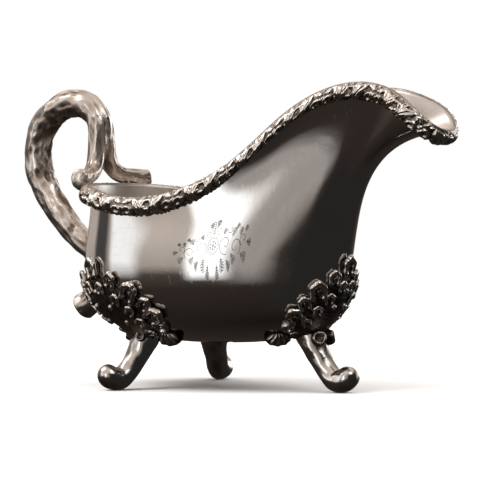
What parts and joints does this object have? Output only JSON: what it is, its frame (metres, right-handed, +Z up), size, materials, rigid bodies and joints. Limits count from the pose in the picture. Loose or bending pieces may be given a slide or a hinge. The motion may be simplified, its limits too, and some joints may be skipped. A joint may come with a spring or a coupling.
{
  "type": "gravy boat",
  "caption": "Footed metal sauce boat with a swept rim, wide pouring lip, leaf and shell border, forked scroll handle and scroll-toed legs under leaf mounts.",
  "frame": {"origin": "below the middle of the overall length, on the plane the toes rest on", "axes": "+X towards the pouring lip, +Y to the left, +Z up"},
  "size_m": [0.207, 0.0854, 0.12],
  "materials": {
    "polished_silver": "polished",
    "border_silver": "polished",
    "handle_silver": "polished",
    "leg_silver": "polished",
    "leaf_silver": "polished"
  },
  "bodies": {
    "root": {"body_shell": "polished_silver", "rim_border_left": "border_silver", "rim_border_right": "border_silver", "handle_scroll": "handle_silver", "handle_branch_left": "handle_silver", "handle_branch_right": "handle_silver", "leg_front": "leg_silver", "leg_rear_left": "leg_silver", "leg_rear_right": "leg_silver", "foot_mount_front": "leaf_silver", "foot_mount_rear_left": "leaf_silver", "foot_mount_rear_right": "leaf_silver"}
  },
  "joints": []
}
